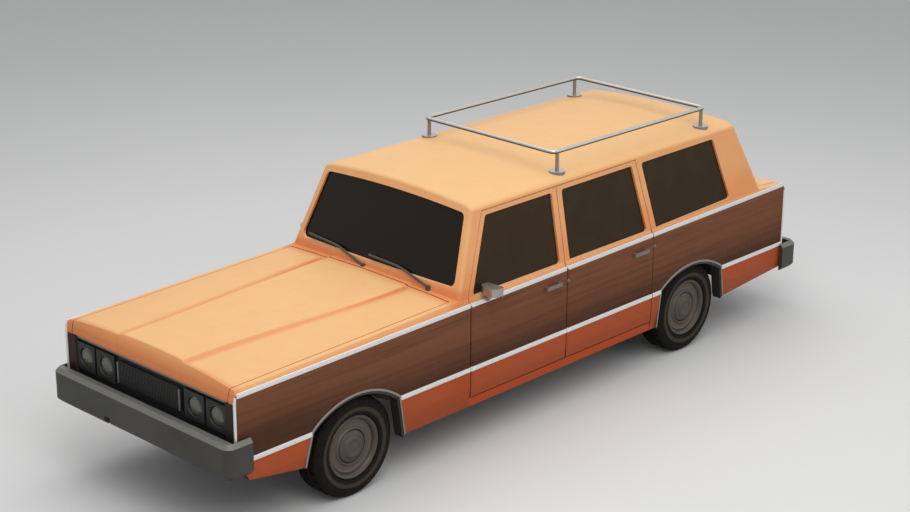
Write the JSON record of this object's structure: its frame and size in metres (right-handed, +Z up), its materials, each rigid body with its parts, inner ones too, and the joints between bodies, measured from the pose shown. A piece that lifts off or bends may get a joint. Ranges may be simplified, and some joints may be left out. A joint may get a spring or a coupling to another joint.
{
  "type": "station wagon",
  "caption": "Long station wagon from the 1970s in orange with wood-look sides, a chrome roof rack, four round headlamps, four side doors, a hood and a drop-down tailgate.",
  "frame": {"origin": "on the ground under the middle of the car's overall box", "axes": "+X to the car's left side, -Y to its front, +Z up"},
  "size_m": [1.852, 5.6, 1.7579],
  "materials": {
    "body_paint": "gloss",
    "underbody": "matte",
    "grille_metal": "satin",
    "lamp_glass": "gloss",
    "bumper_metal": "polished",
    "tinted_glass": "gloss",
    "chrome_trim": "polished",
    "black_trim": "matte",
    "engine_iron": "matte",
    "exhaust_steel": "satin",
    "dash_plastic": "matte",
    "seat_leather": "satin",
    "red_lens": "gloss",
    "tyre_rubber": "matte",
    "wheel_steel": "satin"
  },
  "bodies": {
    "car_body": {"floor_pan": "underbody", "chassis_frame": "underbody", "front_fender_left": "body_paint", "front_fender_right": "body_paint", "quarter_panel_left": "body_paint", "quarter_panel_right": "body_paint", "cabin_shell": "body_paint", "cowl_panel": "body_paint", "engine_bay_walls": "underbody", "grille_panel": "grille_metal", "headlamps": "lamp_glass", "front_bumper": "bumper_metal", "rear_bumper": "bumper_metal", "fixed_glass": "tinted_glass", "roof_rack": "chrome_trim", "wipers": "black_trim", "engine": "engine_iron", "leaf_springs": "engine_iron", "propshaft": "engine_iron", "rear_axle": "engine_iron", "front_suspension": "engine_iron", "exhaust": "exhaust_steel", "fuel_tank": "underbody", "dashboard": "dash_plastic", "front_seat": "seat_leather", "rear_seat": "seat_leather", "tail_lamps": "red_lens"},
    "hood": {"hood": "body_paint"},
    "tailgate": {"tailgate": "body_paint"},
    "steering_wheel": {"steering_wheel": "dash_plastic"},
    "knuckle_left": {"knuckle_left": "engine_iron"},
    "knuckle_right": {"knuckle_right": "engine_iron"},
    "door_front_left": {"door_front_left": "body_paint", "door_glass_front_left": "tinted_glass", "mirror_left": "chrome_trim"},
    "road_wheel_front_left": {"wheel_front_left": "wheel_steel", "tyre_front_left": "tyre_rubber"},
    "door_front_right": {"door_front_right": "body_paint", "door_glass_front_right": "tinted_glass", "mirror_right": "chrome_trim"},
    "road_wheel_front_right": {"wheel_front_right": "wheel_steel", "tyre_front_right": "tyre_rubber"},
    "door_rear_left": {"door_rear_left": "body_paint", "door_glass_rear_left": "tinted_glass"},
    "road_wheel_rear_left": {"wheel_rear_left": "wheel_steel", "tyre_rear_left": "tyre_rubber"},
    "door_rear_right": {"door_rear_right": "body_paint", "door_glass_rear_right": "tinted_glass"},
    "road_wheel_rear_right": {"wheel_rear_right": "wheel_steel", "tyre_rear_right": "tyre_rubber"}
  },
  "joints": [
    {"name": "door_front_left_swing", "type": "hinge", "parent": "car_body", "child": "door_front_left", "pos_m": [0.786, -0.74, 0.7], "axis": [0, 0, -1], "range_deg": [0, 65]},
    {"name": "door_rear_left_swing", "type": "hinge", "parent": "car_body", "child": "door_rear_left", "pos_m": [0.786, 0.191, 0.7], "axis": [0, 0, -1], "range_deg": [0, 65]},
    {"name": "door_front_right_swing", "type": "hinge", "parent": "car_body", "child": "door_front_right", "pos_m": [-0.786, -0.74, 0.7], "axis": [0, 0, 1], "range_deg": [0, 65]},
    {"name": "door_rear_right_swing", "type": "hinge", "parent": "car_body", "child": "door_rear_right", "pos_m": [-0.786, 0.191, 0.7], "axis": [0, 0, 1], "range_deg": [0, 65]},
    {"name": "hood_lift", "type": "hinge", "parent": "car_body", "child": "hood", "pos_m": [0, -1.006, 1.033], "axis": [-1, 0, 0], "range_deg": [0, 50]},
    {"name": "tailgate_drop", "type": "hinge", "parent": "car_body", "child": "tailgate", "pos_m": [0, 2.625, 0.602], "axis": [-1, 0, 0], "range_deg": [0, 90]},
    {"name": "steer_left", "type": "hinge", "parent": "car_body", "child": "knuckle_left", "pos_m": [0.605, -1.74, 0.33], "axis": [0, 0, 1], "range_deg": [-32, 32]},
    {"name": "steer_right", "type": "hinge", "parent": "car_body", "child": "knuckle_right", "pos_m": [-0.605, -1.74, 0.33], "axis": [0, 0, 1], "range_deg": [-32, 32]},
    {"name": "wheel_front_left_spin", "type": "hinge", "parent": "knuckle_left", "child": "road_wheel_front_left", "pos_m": [0.665, -1.74, 0.33], "axis": [1, 0, 0], "continuous": true},
    {"name": "wheel_rear_left_spin", "type": "hinge", "parent": "car_body", "child": "road_wheel_rear_left", "pos_m": [0.665, 1.55, 0.33], "axis": [1, 0, 0], "continuous": true},
    {"name": "wheel_front_right_spin", "type": "hinge", "parent": "knuckle_right", "child": "road_wheel_front_right", "pos_m": [-0.665, -1.74, 0.33], "axis": [1, 0, 0], "continuous": true},
    {"name": "wheel_rear_right_spin", "type": "hinge", "parent": "car_body", "child": "road_wheel_rear_right", "pos_m": [-0.665, 1.55, 0.33], "axis": [1, 0, 0], "continuous": true},
    {"name": "steering_wheel_turn", "type": "hinge", "parent": "car_body", "child": "steering_wheel", "pos_m": [0.35, -0.27, 0.965], "axis": [0, 0.9135, 0.4067], "range_deg": [-384, 384]}
  ],
  "couplings": [
    {"joint": "steer_right", "follows": "steer_left", "ratio": 1},
    {"joint": "steering_wheel_turn", "follows": "steer_left", "ratio": 12}
  ]
}
